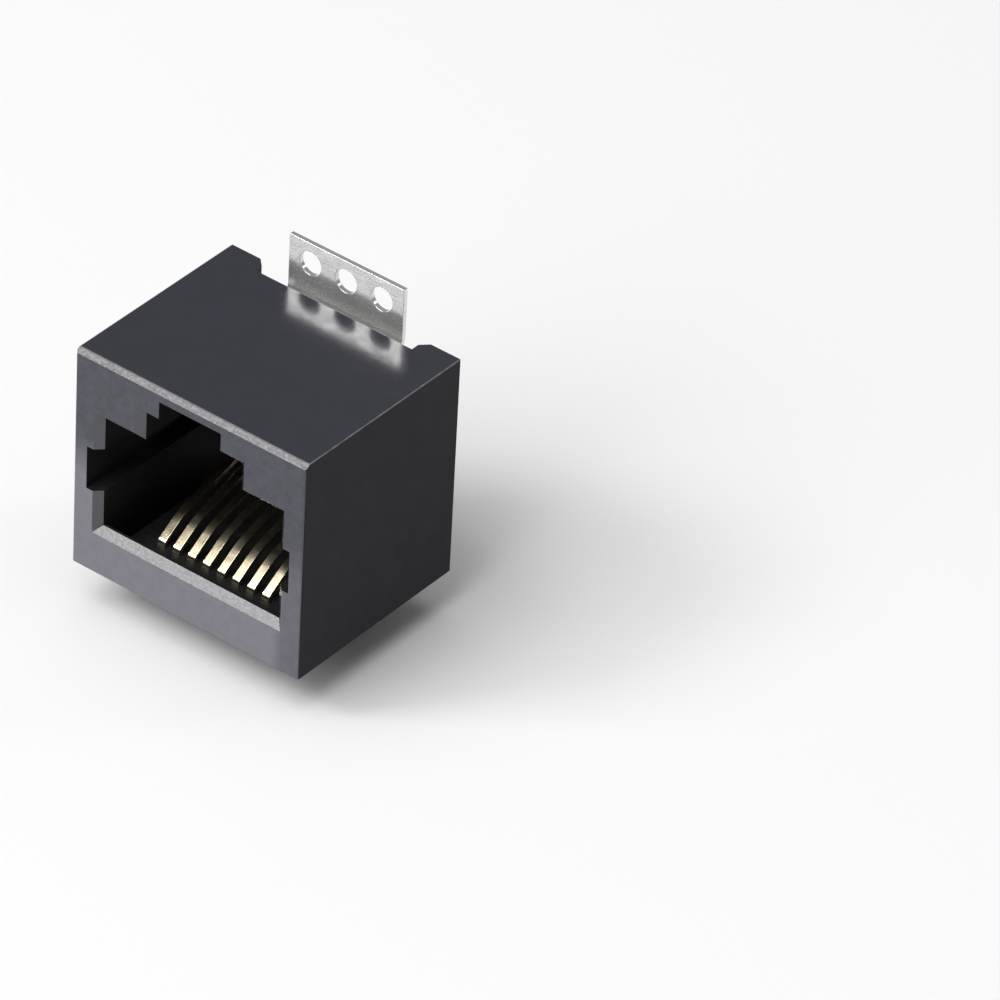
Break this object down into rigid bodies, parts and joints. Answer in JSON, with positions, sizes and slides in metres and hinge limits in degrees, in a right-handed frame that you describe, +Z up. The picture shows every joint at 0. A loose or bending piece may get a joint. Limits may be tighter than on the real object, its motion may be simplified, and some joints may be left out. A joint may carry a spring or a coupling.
{
  "type": "rj45 board jack",
  "caption": "Black vertical-faced modular plug jack for a circuit board, with formed gold contacts, solder tails and a bent sheet bracket.",
  "frame": {"origin": "centre of the face that seats on the board, midway across the housing and midway between its front and rear faces", "axes": "+Z up from the board, -Y out of the plug mouth, +X to the right when looking into the mouth"},
  "size_m": [0.0154, 0.0129, 0.019],
  "materials": {
    "housing_black": "fine moulded texture",
    "insert_black": "fine moulded texture",
    "contact_gold": "gold-plated springs, tin-plated tails",
    "bracket_plate": "bright plated sheet"
  },
  "bodies": {
    "root": {"housing": "housing_black", "contact_insert": "insert_black", "contact_1": "contact_gold", "contact_2": "contact_gold", "contact_3": "contact_gold", "contact_4": "contact_gold", "contact_5": "contact_gold", "contact_6": "contact_gold", "contact_7": "contact_gold", "contact_8": "contact_gold", "bracket": "bracket_plate"}
  },
  "joints": []
}
